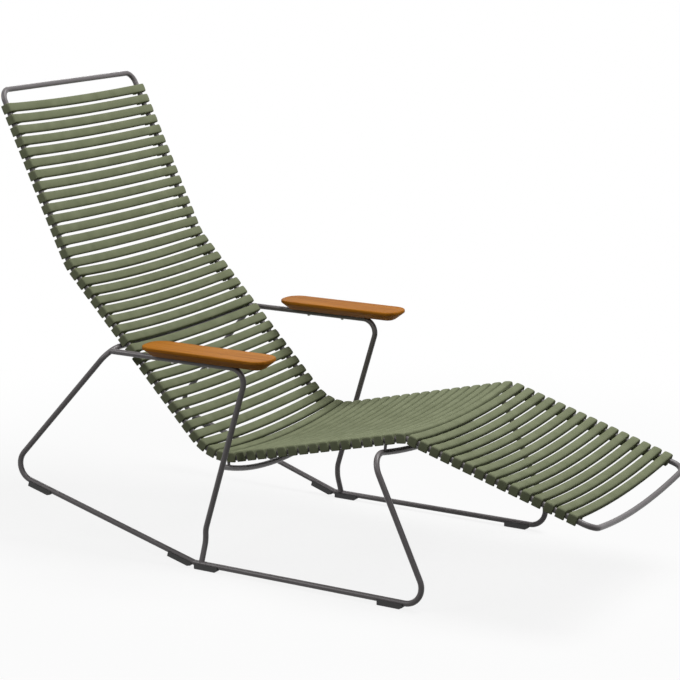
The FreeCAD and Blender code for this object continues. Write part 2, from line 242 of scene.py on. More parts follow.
def rounded_extrusion(
    outline: np.ndarray,
    length: float,
    rim: np.ndarray,
    crown: np.ndarray,
    stations: Sequence[float] = (),
    steps: int = 4,
) -> np.ndarray:
    """An outline carried along X, with round rims and a crown.

    A rim is a quarter circle of radius e: at an angle t, the surface lies e (1 - cos(t)) inside the end face
    and e (1 - sin(t)) inside the outline. The crown draws it in by a further c (2 x / length) squared.

    Args:
        outline: A closed outline, as (y, z) rows.
        length: The length along X, centred on X = 0.
        rim: The rim radius at each point of the outline.
        crown: The crown's depth at each point of the outline.
        stations: Further places along X for a row, between the rims.
        steps: Pieces in each rim.

    Returns:
        Grid points as rows, columns and coordinates.
    """
    angles = np.linspace(0.0, math.pi / 2, steps + 1)[:, None]
    start = -length / 2 + rim * (1 - np.cos(angles))
    middle = np.repeat(np.asarray(stations, dtype=float)[:, None], len(outline), axis=1)
    x = np.concatenate([start, middle, -start[::-1]])
    drawn_in = rim * (1 - np.sin(angles))
    inset = np.concatenate([drawn_in, np.zeros_like(middle), drawn_in[::-1]])
    inset = inset + crown * (2 * x / length) ** 2
    flat = outline[None] - outward_normals(outline)[None] * inset[..., None]
    return np.concatenate([x[..., None], flat], axis=-1)


# Materials


def linear(hex_colour: str) -> tuple[float, float, float, float]:
    """An sRGB hex colour turned to linear light, by the sRGB standard's curve.

    Args:
        hex_colour: The colour, such as "#8a8f70".

    Returns:
        Linear red, green and blue, and an alpha of one.
    """
    parts = [int(hex_colour[i:i + 2], 16) / 255 for i in (1, 3, 5)]
    light = [c / 12.92 if c <= 0.04045 else ((c + 0.055) / 1.055) ** 2.4 for c in parts]
    return (*light, 1.0)


def add_node(
    tree: bpy.types.NodeTree,
    kind: str,
    values: dict[str | int, object] | None = None,
    links: dict[str | int, bpy.types.NodeSocket] | None = None,
    stops: Sequence[tuple[float, str]] = (),
    **settings: object,
) -> bpy.types.Node:
    """Adds a node to a material.

    Args:
        tree: The material's node tree.
        kind: The node's type name.
        values: What its input sockets are set to.
        links: The outputs that feed its input sockets.
        stops: Places from 0 to 1 and their hex colours, where the node is a colour ramp.
        settings: Its own properties.

    Returns:
        The node.
    """
    made = tree.nodes.new(kind)
    for name, value in settings.items():
        setattr(made, name, value)
    for socket, value in (values or {}).items():
        made.inputs[socket].default_value = value
    for socket, output in (links or {}).items():
        tree.links.new(output, made.inputs[socket])
    for number, (place, colour) in enumerate(stops):
        elements = made.color_ramp.elements
        element = elements[number] if number < len(elements) else elements.new(place)
        element.position = place
        element.color = linear(colour)
    return made


def new_material(name: str) -> tuple[bpy.types.Material, bpy.types.NodeTree]:
    """Makes an empty node material.

    Args:
        name: Its name.

    Returns:
        The material and its node tree.
    """
    material = bpy.data.materials.new(name)
    material.use_nodes = True
    material.node_tree.nodes.clear()
    return material, material.node_tree


def mottling(
    tree: bpy.types.NodeTree, size_mm: tuple[float, float, float], detail: float, wave: float = 0.0
) -> bpy.types.NodeSocket:
    """Lays irregular patches of a real size over a piece, fixed to it.

    Args:
        tree: The material's node tree.
        size_mm: The patches' size along X, Y and Z.
        detail: How many finer patches lie over the first ones.
        wave: How far the patches are bent out of shape.

    Returns:
        The pattern, from 0 to 1.
    """
    where = add_node(tree, "ShaderNodeTexCoord").outputs["Object"]
    scale = tuple(1.0 / (size * METRES_PER_MM) for size in size_mm)
    scaled = add_node(tree, "ShaderNodeMapping", {"Scale": scale}, {"Vector": where}).outputs["Vector"]
    values = {"Scale": 1.0, "Detail": detail, "Distortion": wave}
    return add_node(tree, "ShaderNodeTexNoise", values, {"Vector": scaled}).outputs["Fac"]


def seen_directly(tree: bpy.types.NodeTree) -> bpy.types.NodeSocket:
    """Tells rays that show a surface from rays that light another.

    Args:
        tree: The material's node tree.

    Returns:
        One for rays from the camera, from a glossy surface or through glass, and nought for the others.
    """
    rays = add_node(tree, "ShaderNodeLightPath").outputs
    seen = rays["Is Camera Ray"]
    for kind in ("Is Glossy Ray", "Is Transmission Ray"):
        larger = add_node(tree, "ShaderNodeMath", links={0: seen, 1: rays[kind]}, operation="MAXIMUM")
        seen = larger.outputs["Value"]
    return seen


class Finish(ABC):
    """A finish: plain values and patterns that feed one Principled shader."""

    name: ClassVar[str]

    @abstractmethod
    def sockets(self, tree: bpy.types.NodeTree) -> ShaderSockets:
        """Makes the finish's patterns.

        Args:
            tree: The material's node tree.

        Returns:
            The shader's plain values, and the outputs that feed its other sockets.
        """

    def make(self) -> bpy.types.Material:
        """Makes the finish's material.

        Returns:
            The material.
        """
        material, tree = new_material(self.name)
        values, links = self.sockets(tree)
        shader = add_node(tree, "ShaderNodeBsdfPrincipled", values, links)
        add_node(tree, "ShaderNodeOutputMaterial", links={"Surface": shader.outputs["BSDF"]})
        return material


@dataclass(frozen=True)
class PowderCoatedSteel(Finish):
    """Dark grey polyester powder baked on steel tube: a satin skin with a faint orange peel."""

    name: ClassVar[str] = "powder_coated_steel"
    colour: str = "#726d6e"
    worn: str = "#7b7677"
    roughness: float = 0.32
    ior: float = 1.5
    gloss: float = 0.4
    patch_mm: float = 60.0
    peel_mm: float = 2.5          # real orange peel is finer, and wouldn't show at this size
    peel_depth_mm: float = 0.05

    def sockets(self, tree: bpy.types.NodeTree) -> ShaderSockets:
        """Mixes two close greys in broad patches, with a fine bump over them.

        Args:
            tree: The material's node tree.

        Returns:
            The shader's plain values, and the outputs that feed its other sockets.
        """
        patches = {"Fac": mottling(tree, (self.patch_mm,) * 3, detail=4.0)}
        stops = [(0.35, self.colour), (0.75, self.worn)]
        colour = add_node(tree, "ShaderNodeValToRGB", links=patches, stops=stops).outputs["Color"]
        peel = {"Height": mottling(tree, (self.peel_mm,) * 3, detail=2.0)}
        relief = {"Distance": self.peel_depth_mm * METRES_PER_MM, "Strength": 0.35}
        normal = add_node(tree, "ShaderNodeBump", relief, peel).outputs["Normal"]
        values = {"Roughness": self.roughness, "IOR": self.ior, "Specular IOR Level": self.gloss}
        return values, {"Base Color": colour, "Normal": normal}


@dataclass(frozen=True)
class MouldedPolypropylene(Finish):
    """Olive green injection-moulded polypropylene: matt, with a fine spark-eroded grain from the mould."""

    name: ClassVar[str] = "moulded_polypropylene"
    colour: str = "#7e8468"
    light: str = "#8b9174"
    roughness: float = 0.7
    ior: float = 1.49
    gloss: float = 0.02
    patch_mm: float = 35.0
    grain_mm: float = 1.6         # the mould's grain is about 0.3 mm, and is drawn coarser so that it shows
    grain_depth_mm: float = 0.06

    def sockets(self, tree: bpy.types.NodeTree) -> ShaderSockets:
        """Mixes two olive greens in a slow drift, with a fine grain over them.

        Args:
            tree: The material's node tree.

        Returns:
            The shader's plain values, and the outputs that feed its other sockets.
        """
        patches = {"Fac": mottling(tree, (self.patch_mm,) * 3, detail=5.0)}
        stops = [(0.3, self.colour), (0.7, self.light)]
        colour = add_node(tree, "ShaderNodeValToRGB", links=patches, stops=stops).outputs["Color"]
        grain = {"Height": mottling(tree, (self.grain_mm,) * 3, detail=3.0)}
        relief = {"Distance": self.grain_depth_mm * METRES_PER_MM, "Strength": 0.5}
        normal = add_node(tree, "ShaderNodeBump", relief, grain).outputs["Normal"]
        values = {"Roughness": self.roughness, "IOR": self.ior, "Specular IOR Level": self.gloss}
        return values, {"Base Color": colour, "Normal": normal}


@dataclass(frozen=True)
class OiledHardwood(Finish):
    """Oiled, planed hardwood: orange brown, with long fibres along the board and a few dark flecks."""

    name: ClassVar[str] = "oiled_hardwood"
    dark: str = "#854c0c"
    middle: str = "#b06c14"
    light: str = "#c07d26"
    fleck: str = "#5c340c"
    roughness: float = 0.6
    ior: float = 1.48
    gloss: float = 0.12
    wave: float = 0.6
    ring_mm: tuple[float, float, float] = (260.0, 14.0, 14.0)
    fibre_mm: tuple[float, float, float] = (90.0, 1.8, 1.8)
    fibre_share: float = 0.45
    fibre_depth_mm: float = 0.15
    fleck_mm: tuple[float, float, float] = (26.0, 4.0, 4.0)
    fleck_range: tuple[float, float] = (0.66, 0.8)

    def sockets(self, tree: bpy.types.NodeTree) -> ShaderSockets:
        """Lays fibres over growth rings, and dark flecks over both.

        Args:
            tree: The material's node tree.

        Returns:
            The shader's plain values, and the outputs that feed its other sockets.
        """
        rings = {"Fac": mottling(tree, self.ring_mm, 3.0, self.wave)}
        stops = [(0.3, self.dark), (0.5, self.middle), (0.72, self.light)]
        ring_colour = add_node(tree, "ShaderNodeValToRGB", links=rings, stops=stops).outputs["Color"]
        fibres = mottling(tree, self.fibre_mm, 6.0, self.wave)
        stops = [(0.32, self.dark), (0.6, self.light)]
        fibre_ramp = add_node(tree, "ShaderNodeValToRGB", links={"Fac": fibres}, stops=stops)
        share = {MIX_SHARE: self.fibre_share}
        both = {MIX_FIRST: ring_colour, MIX_SECOND: fibre_ramp.outputs["Color"]}
        grain = add_node(tree, "ShaderNodeMix", share, both, data_type="RGBA").outputs[MIX_RESULT]
        ends = {"From Min": self.fleck_range[0], "From Max": self.fleck_range[1]}
        flecks = {"Value": mottling(tree, self.fleck_mm, 2.0, self.wave)}
        spots = add_node(tree, "ShaderNodeMapRange", ends, flecks).outputs["Result"]
        dark = {MIX_SECOND: linear(self.fleck)}
        over = {MIX_SHARE: spots, MIX_FIRST: grain}
        colour = add_node(tree, "ShaderNodeMix", dark, over, data_type="RGBA").outputs[MIX_RESULT]
        relief = {"Distance": self.fibre_depth_mm * METRES_PER_MM, "Strength": 0.4}
        normal = add_node(tree, "ShaderNodeBump", relief, {"Height": fibres}).outputs["Normal"]
        values = {"Roughness": self.roughness, "IOR": self.ior, "Specular IOR Level": self.gloss}
        return values, {"Base Color": colour, "Normal": normal}


@dataclass(frozen=True)
class BlackPolyamide(Finish):
    """Black moulded polyamide: matt, with a slightly scuffed grey bloom."""

    name: ClassVar[str] = "black_polyamide"
    colour: str = "#141414"
    bloom: str = "#222120"
    roughness: float = 0.5
    ior: float = 1.53
    bloom_mm: float = 9.0
    bloom_depth_mm: float = 0.08

    def sockets(self, tree: bpy.types.NodeTree) -> ShaderSockets:
        """Mixes black with grey patches, and lifts the patches a little.

        Args:
            tree: The material's node tree.

        Returns:
            The shader's plain values, and the outputs that feed its other sockets.
        """
        patches = mottling(tree, (self.bloom_mm,) * 3, detail=5.0)
        stops = [(0.35, self.colour), (0.75, self.bloom)]
        colour = add_node(tree, "ShaderNodeValToRGB", links={"Fac": patches}, stops=stops).outputs["Color"]
        relief = {"Distance": self.bloom_depth_mm * METRES_PER_MM, "Strength": 0.4}
        normal = add_node(tree, "ShaderNodeBump", relief, {"Height": patches}).outputs["Normal"]
        return {"Roughness": self.roughness, "IOR": self.ior}, {"Base Color": colour, "Normal": normal}


@dataclass(frozen=True)
class ZincPlatedSteel(Finish):
    """Zinc-plated screw steel: pale and a little dull."""

    name: ClassVar[str] = "zinc_plated_steel"
    colour: str = "#b9b8b2"
    dull: str = "#8f8e88"
    roughness: float = 0.35
    metallic: float = 1.0
    cloud_mm: float = 3.0

    def sockets(self, tree: bpy.types.NodeTree) -> ShaderSockets:
        """Mixes two greys of plated metal in cloudy patches.

        Args:
            tree: The material's node tree.

        Returns:
            The shader's plain values, and the outputs that feed its other sockets.
        """
        clouds = {"Fac": mottling(tree, (self.cloud_mm,) * 3, detail=3.0)}
        stops = [(0.3, self.dull), (0.7, self.colour)]
        colour = add_node(tree, "ShaderNodeValToRGB", links=clouds, stops=stops).outputs["Color"]
        return {"Roughness": self.roughness, "Metallic": self.metallic}, {"Base Color": colour}


# Pieces


@dataclass
class Bench:
    """Puts finished pieces in place: millimetres to metres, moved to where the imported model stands."""

    hoop_joint_x: float
    made: int = 0

    def shift(self) -> np.ndarray:
        """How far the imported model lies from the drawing, read from the front hoop's rear end."""
        rear_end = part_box("front_hoop")[0][0] / METRES_PER_MM
        return np.array([rear_end - self.hoop_joint_x, 0.0, 0.0])

    def place(
        self,
        name: str,
        surface: Surface,
        material: bpy.types.Material,
        slot: Slot,
        stands_for: Iterable[str] = (),
        sharp: float = 40.0,
    ) -> None:
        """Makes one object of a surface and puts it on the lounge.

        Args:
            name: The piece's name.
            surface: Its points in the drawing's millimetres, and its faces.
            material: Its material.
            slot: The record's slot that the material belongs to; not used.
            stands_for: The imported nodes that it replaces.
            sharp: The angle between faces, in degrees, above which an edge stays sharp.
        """
        points, faces = surface
        mesh = bpy.data.meshes.new(name)
        mesh.from_pydata(((points + self.shift()) * METRES_PER_MM).tolist(), [], faces)
        mesh.validate()
        self.face_outwards(mesh)
        mesh.shade_smooth()
        mesh.set_sharp_from_angle(angle=math.radians(sharp))
        mesh.materials.append(material)
        piece = bpy.data.objects.new(name, mesh)
        bpy.context.scene.collection.objects.link(piece)
        nodes = list(stands_for)
        if nodes:
            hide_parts(*nodes)
        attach(piece, "root")
        self.made += 1
        LOG.info("%s: %d faces", name, len(mesh.polygons))

    @staticmethod
    def face_outwards(mesh: bpy.types.Mesh) -> None:
        """Turns the faces round where the volume that they enclose comes out negative.

        The volume is a sixth of the sum of a . (b x c) over the triangles.

        Args:
            mesh: The mesh, which has to be closed.
        """
        mesh.calc_loop_triangles()
        corners = np.empty(len(mesh.loop_triangles) * 3, dtype=np.int32)
        mesh.loop_triangles.foreach_get("vertices", corners)
        points = np.empty(len(mesh.vertices) * 3)
        mesh.vertices.foreach_get("co", points)
        a, b, c = points.reshape(-1, 3)[corners.reshape(-1, 3)].transpose(1, 0, 2)
        if np.sum(a * np.cross(b, c)) < 0:
            mesh.flip_normals()


def mirrored(points: np.ndarray) -> np.ndarray:
    """The same points on the lounge's other side."""
    return points * np.array([1.0, -1.0, 1.0])


def at_side(place: np.ndarray, y: float) -> np.ndarray:
    """The same place at another Y."""
    return np.array([place[0], y, place[2]])


def both_sides(corners: Sequence[np.ndarray], middle: np.ndarray | None = None) -> list[np.ndarray]:
    """Continues a tube's corners on the lounge's other side, back to the start.

    Args:
        corners: The left-hand side's corners.
        middle: A corner between the two sides, where the tube has one.

    Returns:
        The corners of the whole tube.
    """
    between = [] if middle is None else [middle]
    return list(corners) + between + [mirrored(corner) for corner in reversed(corners)]


def sag_corner(corner: np.ndarray, slope: float, down: np.ndarray) -> np.ndarray:
    """Finds where the end slopes of a sagging cross bar would meet.

    It lies below the bar's middle by the half span times the tangent of the slope.

    Args:
        corner: The bar's left end.
        slope: The angle, in degrees, at which the bar leaves its end.
        down: The direction in which it sags.

    Returns:
        The place, in the lounge's middle plane.
    """
    return at_side(corner, 0.0) + down * corner[1] * math.tan(math.radians(slope))


@dataclass
class SeatFrame:
    """The two bent tubes that carry the slats.

    The hollow is the X and Z of the corner under the sitter. From there, the lower and the upper back rise
    towards the head, and the seat rises and the leg rest falls towards the feet. Each has a length and an
    angle to the floor.
    """

    tube_radius: float = TUBE_RADIUS
    half_span: float = 257.0
    hollow: tuple[float, float] = (16.0, 238.9)
    lower_back: tuple[float, float] = (559.9, 46.6)
    upper_back: tuple[float, float] = (434.4, 64.6)
    seat: tuple[float, float] = (504.6, 13.7)
    leg_rest: tuple[float, float] = (451.2, 17.0)
    back_bend: float = 120.0
    hollow_bend: float = 117.0
    knee_bend: float = 65.0
    corner_bend: float = 27.0
    foot_rail_slope: float = 10.3

    def corners(self) -> list[np.ndarray]:
        """Works out the rail's corners in the middle plane.

        Each lies one straight run from the last, at that run's angle.

        Returns:
            The head, the back's bend, the hollow of the seat, the knee and the foot.
        """
        hollow = np.array([self.hollow[0], 0.0, self.hollow[1]])
        back_bend = hollow + polar(self.lower_back[0], 180.0 - self.lower_back[1])
        head = back_bend + polar(self.upper_back[0], 180.0 - self.upper_back[1])
        knee = hollow + polar(*self.seat)
        foot = knee + polar(self.leg_rest[0], -self.leg_rest[1])
        return [head, back_bend, hollow, knee, foot]

    def rail(self) -> np.ndarray:
        """The rail's centre line in the middle plane, from head to foot."""
        return bent_line(self.corners(), [self.back_bend, self.hollow_bend, self.knee_bend], step=1.0)

    def distances(self) -> np.ndarray:
        """How far along the rail each of its points lies."""
        lengths = np.linalg.norm(np.diff(self.rail(), axis=0), axis=1)
        return np.concatenate([[0.0], np.cumsum(lengths)])

    def stations(self, distances: np.ndarray) -> tuple[np.ndarray, np.ndarray]:
        """Places and headings at distances along the rail.

        Args:
            distances: Distances from the head rail's centre.

        Returns:
            The places and the headings, one row each.
        """
        rail, known = self.rail(), self.distances()
        heading = headings(rail)
        place = np.stack([np.interp(distances, known, rail[:, i]) for i in range(3)], axis=1)
        turned = np.stack([np.interp(distances, known, heading[:, i]) for i in range(3)], axis=1)
        return place, unit(turned)

    def bend_middles(self) -> list[float]:
        """Finds the middle of each bend: the rail's point that is nearest to the bend's corner.

        Returns:
            How far along the rail each bend's middle lies.
        """
        rail, known = self.rail(), self.distances()
        inner = self.corners()[1:-1]
        return [float(known[np.argmin(np.linalg.norm(rail - corner, axis=1))]) for corner in inner]

    def build(self, bench: Bench, steel: bpy.types.Material, joint: np.ndarray) -> None:
        """Makes both tubes, which meet at the joint.

        Args:
            bench: Where pieces are put in place.
            steel: Their material.
            joint: The joint's place in the middle plane.
        """
        head, back_bend, hollow, knee, foot = [at_side(corner, self.half_span) for corner in self.corners()]
        joint = at_side(joint, self.half_span)
        bends = [self.hollow_bend, self.back_bend, self.corner_bend]
        back = bent_line(both_sides([joint, hollow, back_bend, head]), bends + bends[::-1])
        back_tube = tube_surface(back, self.tube_radius)
        bench.place("back_frame_tube", back_tube, steel, Slot.STEEL, ["back_frame"])
        middle = sag_corner(foot, self.foot_rail_slope, polar(1.0, -90.0 - self.leg_rest[1]))
        bends = [self.knee_bend, self.corner_bend]
        front = bent_line(both_sides([joint, knee, foot], middle), bends + [None] + bends[::-1])
        front_tube = tube_surface(front, self.tube_radius)
        bench.place("front_frame_tube", front_tube, steel, Slot.STEEL, ["front_frame"])


@dataclass
class Base:
    """The front and the rear hoop, with the runners."""

    back_angle: float                                             # of the lower back, to the floor
    tube_radius: float = TUBE_RADIUS
    half_span: float = 316.0
    runner_height: float = 13.0
    toe_x: float = 597.6
    front_shoulder_place: tuple[float, float] = (451.3, 331.02)   # X and Z
    front_bar_slope: float = 11.4
    heel: tuple[float, float, float] = (-497.0, 28.5, 151.5)      # from the kink
    rear_shoulder_place: tuple[float, float, float] = (-226.81, 305.0, 477.3)
    top_bar_slope: float = 5.0
    kink_bend: float = 20.0
    bend: float = 40.0
    joint_x: float = 35.0

    def kink(self) -> np.ndarray:
        """The left runner's kink."""
        return np.array([0.0, self.half_span, self.runner_height])

    def joint(self) -> np.ndarray:
        """Where the two hoops meet on the left runner."""
        return self.kink() + np.array([self.joint_x, 0.0, 0.0])

    def toe(self) -> np.ndarray:
        """The corner where the left runner turns up into the front leg."""
        return np.array([self.toe_x, self.half_span, self.runner_height])

    def front_shoulder(self) -> np.ndarray:
        """The corner where the left front leg turns into the front cross bar."""
        x, z = self.front_shoulder_place
        return np.array([x, self.half_span, z])

    def heel_corner(self) -> np.ndarray:
        """The corner where the left rear runner turns up into the rear leg."""
        return self.kink() + np.array(self.heel)

    def rear_shoulder(self) -> np.ndarray:
        """The corner where the left rear leg turns into the top cross bar."""
        return np.array(self.rear_shoulder_place)

    def front_path(self) -> np.ndarray:
        """Works out runner, leg and a cross bar that sags in the plane of the two legs.

        Returns:
            The front hoop's centre line.
        """
        joint, toe, shoulder = self.joint(), self.toe(), self.front_shoulder()
        middle = sag_corner(shoulder, self.front_bar_slope, unit(toe - shoulder))
        bends = [self.bend, self.bend]
        return bent_line(both_sides([joint, toe, shoulder], middle), bends + [None] + bends)

    def rear_path(self) -> np.ndarray:
        """Works out kink, rear runner, rear leg and a top cross bar that bows square away from the back.

        Returns:
            The rear hoop's centre line.
        """
        shoulder = self.rear_shoulder()
        middle = sag_corner(shoulder, self.top_bar_slope, polar(1.0, -90.0 - self.back_angle))
        corners = both_sides([self.joint(), self.kink(), self.heel_corner(), shoulder], middle)
        bends = [self.kink_bend, self.bend, self.bend]
        return bent_line(corners, bends + [None] + bends[::-1])

    def build(self, bench: Bench, steel: bpy.types.Material) -> None:
        """Makes both hoops.

        Args:
            bench: Where pieces are put in place.
            steel: Their material.
        """
        front = tube_surface(self.front_path(), self.tube_radius)
        bench.place("front_hoop_tube", front, steel, Slot.STEEL, ["front_hoop"])
        rear = tube_surface(self.rear_path(), self.tube_radius)
        bench.place("rear_hoop_tube", rear, steel, Slot.STEEL, ["rear_hoop"])


@dataclass
class Arms:
    """The arm tubes with their posts, the cross bar between these, and the stubs under the seat frame."""

    tube_radius: float = TUBE_RADIUS
    half_span: float = 296.5
    height: float = 469.5
    start_setback: float = 3.0
    front_x: float = 134.0
    bend: float = 32.0
    post_x: float = 19.0
    straight_height: float = 88.0
    splay_height: float = 62.0
    post_bend: float = 60.0
    bar_height: float = 241.0
    bar_slope: float = 20.6
    stub_radius: float = 3.35
    stub_sides: int = 20
    bar_steps: int = 33           # points that are tried on each piece of a tube for a stub's end

    def corners(self, base: Base) -> list[np.ndarray]:
        """Works out the left arm tube's corners.

        Args:
            base: The hoops that it stands on.

        Returns:
            The corners, from the rear hoop forwards and down to the runner.
        """
        start = np.array([base.rear_shoulder()[0] - self.start_setback, self.half_span, self.height])
        front = np.array([self.front_x, self.half_span, self.height])
        ankle = np.array([self.post_x, self.half_span, self.straight_height])
        splay = np.array([self.post_x, self.half_span, self.splay_height])
        foot = np.array([self.post_x, base.half_span, base.runner_height])
        return [start, front, ankle, splay, foot]

    def arm_path(self, base: Base) -> np.ndarray:
        """The left arm tube's centre line."""
        return bent_line(self.corners(base), [self.bend, self.post_bend, self.post_bend])

    def bar_path(self, base: Base) -> np.ndarray:
        """Works out the lower cross bar, which sags in the plane of the posts.

        Args:
            base: The hoops that the posts stand on.

        Returns:
            The bar's centre line.
        """
        _, front, ankle, _, _ = self.corners(base)
        down = unit(ankle - front)
        on_post = front + down * (front[2] - self.bar_height) / -down[2]
        middle = sag_corner(on_post, self.bar_slope, down)
        return bent_line([on_post, middle, mirrored(on_post)], [None])

    def stub_path(self, gaps: np.ndarray, bar: np.ndarray) -> np.ndarray:
        """The shortest way from the left rail, in the middle of a gap between slats, to a cross bar.

        Every gap's middle is compared with points spread evenly over the line's left half.

        Args:
            gaps: The gaps' middles on the left rail.
            bar: The centre line of the tube that the cross bar is part of.

        Returns:
            The two ends.
        """
        left = bar[bar[:, 1] > 0]
        steps = np.linspace(0.0, 1.0, self.bar_steps)[:, None, None]
        fine = (left[None, :-1] + steps * np.diff(left, axis=0)[None]).reshape(-1, 3)
        apart = np.linalg.norm(gaps[:, None] - fine[None], axis=2)
        on_rail, on_bar = np.unravel_index(np.argmin(apart), apart.shape)
        return np.stack([fine[on_bar], gaps[on_rail]])

    def build(self, bench: Bench, steel: bpy.types.Material, base: Base, gaps: np.ndarray) -> None:
        """Makes the arm tubes, the lower cross bar and the stubs.

        Args:
            bench: Where pieces are put in place.
            steel: Their material.
            base: The hoops that they stand on.
            gaps: The middles of the gaps between slats, on the left rail.
        """
        bar = self.bar_path(base)
        bench.place("lower_bar_tube", tube_surface(bar, self.tube_radius), steel, Slot.STEEL, ["lower_bar"])
        bars = {"top_stub": base.rear_path(), "lower_stub": bar, "front_stub": base.front_path()}
        arm = tube_surface(self.arm_path(base), self.tube_radius)
        for side in Side:
            node = side.node("arm_tube")
            bench.place(f"{node}_bent", side.version_of(arm), steel, Slot.STEEL, [node])
            for stub, line in bars.items():
                node = side.node(stub)
                rod = tube_surface(self.stub_path(gaps, line), self.stub_radius, self.stub_sides)
                bench.place(f"{node}_rod", side.version_of(rod), steel, Slot.STEEL, [node])


@dataclass
class Slats:
    """The clip-on slats."""

    pitch: float = 27.5
    width: float = 20.4
    half_length: float = 268.6
    top: float = 14.8             # above the rail's centre line, at the slat's ends
    sag: float = 17.3
    flat: float = 10.0            # how far in the arc begins
    thickness: float = 10.3
    head_gap: float = 45.9
    foot_gap: float = 47.7
    joint_slat: int = 44          # counted from the head, it hides the joint of the seat frame's tubes
    block_length: float = 31.0
    block_depth: float = 8.5      # below the rail's centre line
    seat_clearance: float = 0.3
    mouth_half: float = 6.1       # half the opening under a clip seat
    haunch: float = 4.5           # in which the block's underside rises to the body's
    haunch_bend: float = 4.0
    top_rim: float = 2.8
    end_rim: float = 2.4
    under_rim: float = 0.7
    crown: float = 2.0
    end_crown: float = 1.0
    end_corner: float = 4.4       # has to be larger than the rim and the crown at the ends together
    block_corner: float = 1.6
    mouth_corner: float = 0.9
    clip_reach: float = 20.0      # degrees by which a clip goes past half a circle, at each lip
    rim_gain: float = 1.5         # rim and crown are full where the outward normal's Z is 1 / 1.5 or more
    top_points: int = 25
    clip_points: int = 15
    under_points: int = 21
    zones: tuple[str, ...] = ("upper_back_slats", "lower_back_slats", "seat_slats", "leg_rest_slats")

    def top_height(self, y: np.ndarray) -> np.ndarray:
        """Height of the upper side above the rail: flat at the ends, an arc of a circle between them.

        The arc's radius r follows from its sag s and half its chord a, as (a squared + s squared) / 2 s.

        Args:
            y: Distances from the middle plane.

        Returns:
            The height at each of them.
        """
        reach = self.half_length - self.flat
        radius = (reach ** 2 + self.sag ** 2) / (2 * self.sag)
        return self.top - self.sag + radius - np.sqrt(radius ** 2 - np.minimum(np.abs(y), reach) ** 2)

    def outline(self, seat: SeatFrame) -> np.ndarray:
        """The slat's closed outline across the rails.

        It runs from the top's middle outwards, down the end face, round the clip seat, along the block's
        underside, up the haunch and back along the body's underside. The clip seat is an arc about the rail,
        a little over half a circle.

        Args:
            seat: The seat frame that the slats clip on.

        Returns:
            The outline as (y, z) rows.
        """
        y = np.linspace(0.0, self.half_length - self.flat, self.top_points)
        upper = np.stack([y, self.top_height(y)], axis=1)
        angles = np.radians(np.linspace(-self.clip_reach, 180.0 + self.clip_reach, self.clip_points))
        radius = seat.tube_radius + self.seat_clearance
        clip = np.stack([seat.half_span + radius * np.cos(angles), radius * np.sin(angles)], axis=1)
        end, low = self.half_length, -self.block_depth
        outer = [upper[-1], (end, self.top), (end, low), (seat.half_span + self.mouth_half, low), clip[0]]
        inner_y = end - self.block_length
        y = np.linspace(inner_y - self.haunch, 0.0, self.under_points)
        under = np.stack([y, self.top_height(y) - self.thickness], axis=1)
        inner = [clip[-1], (seat.half_span - self.mouth_half, low), (inner_y, low), under[0], under[1]]
        end_radii = [self.end_corner, self.block_corner, self.mouth_corner]
        inner_radii = [self.mouth_corner, self.block_corner, self.haunch_bend]
        half = np.concatenate(
            [
                upper[:-1],
                bent_line(outer, end_radii, SMALL_CORNER_STEP),
                clip[1:-1],
                bent_line(inner, inner_radii, SMALL_CORNER_STEP),
                under[2:],
            ]
        )
        other = half[1:-1][::-1] * np.array([-1.0, 1.0])
        return np.concatenate([half, other])

    def pattern(self, seat: SeatFrame) -> np.ndarray:
        """One slat as a grid, with X along the rails and Z square to them.

        The body's rims and crown are larger than the end blocks', and go over into these along the block.

        Args:
            seat: The seat frame that the slats clip on.

        Returns:
            Grid points as rows, columns and coordinates.
        """
        outline = self.outline(seat)
        upward = np.clip(outward_normals(outline)[:, 1] * self.rim_gain, 0.0, 1.0)
        block = [self.half_length - self.block_length, self.half_length - self.flat]
        body = np.interp(np.abs(outline[:, 0]), block, [1.0, 0.0])
        top_rim = self.end_rim + (self.top_rim - self.end_rim) * body
        rim = self.under_rim + (top_rim - self.under_rim) * upward
        crown = (self.end_crown + (self.crown - self.end_crown) * body) * upward
        quarter = self.width / 4
        return rounded_extrusion(outline, self.width, rim, crown, [-quarter, 0.0, quarter])

    def places(self, seat: SeatFrame) -> np.ndarray:
        """Spreads as many slats over the rail as fit at about the pitch.

        Args:
            seat: The seat frame.

        Returns:
            How far along the rail each slat lies.
        """
        run = seat.distances()[-1] - self.head_gap - self.foot_gap
        count = round(run / self.pitch) + 1
        return self.head_gap + np.linspace(0.0, run, count)

    def gaps(self, seat: SeatFrame) -> np.ndarray:
        """The middles of the gaps between slats, on the left rail."""
        places = self.places(seat)
        return seat.stations((places[1:] + places[:-1]) / 2)[0] + SIDEWAYS * seat.half_span

    def joint(self, seat: SeatFrame) -> np.ndarray:
        """Where the seat frame's two tubes meet, in the middle plane."""
        return seat.stations(self.places(seat)[self.joint_slat - 1:self.joint_slat])[0][0]

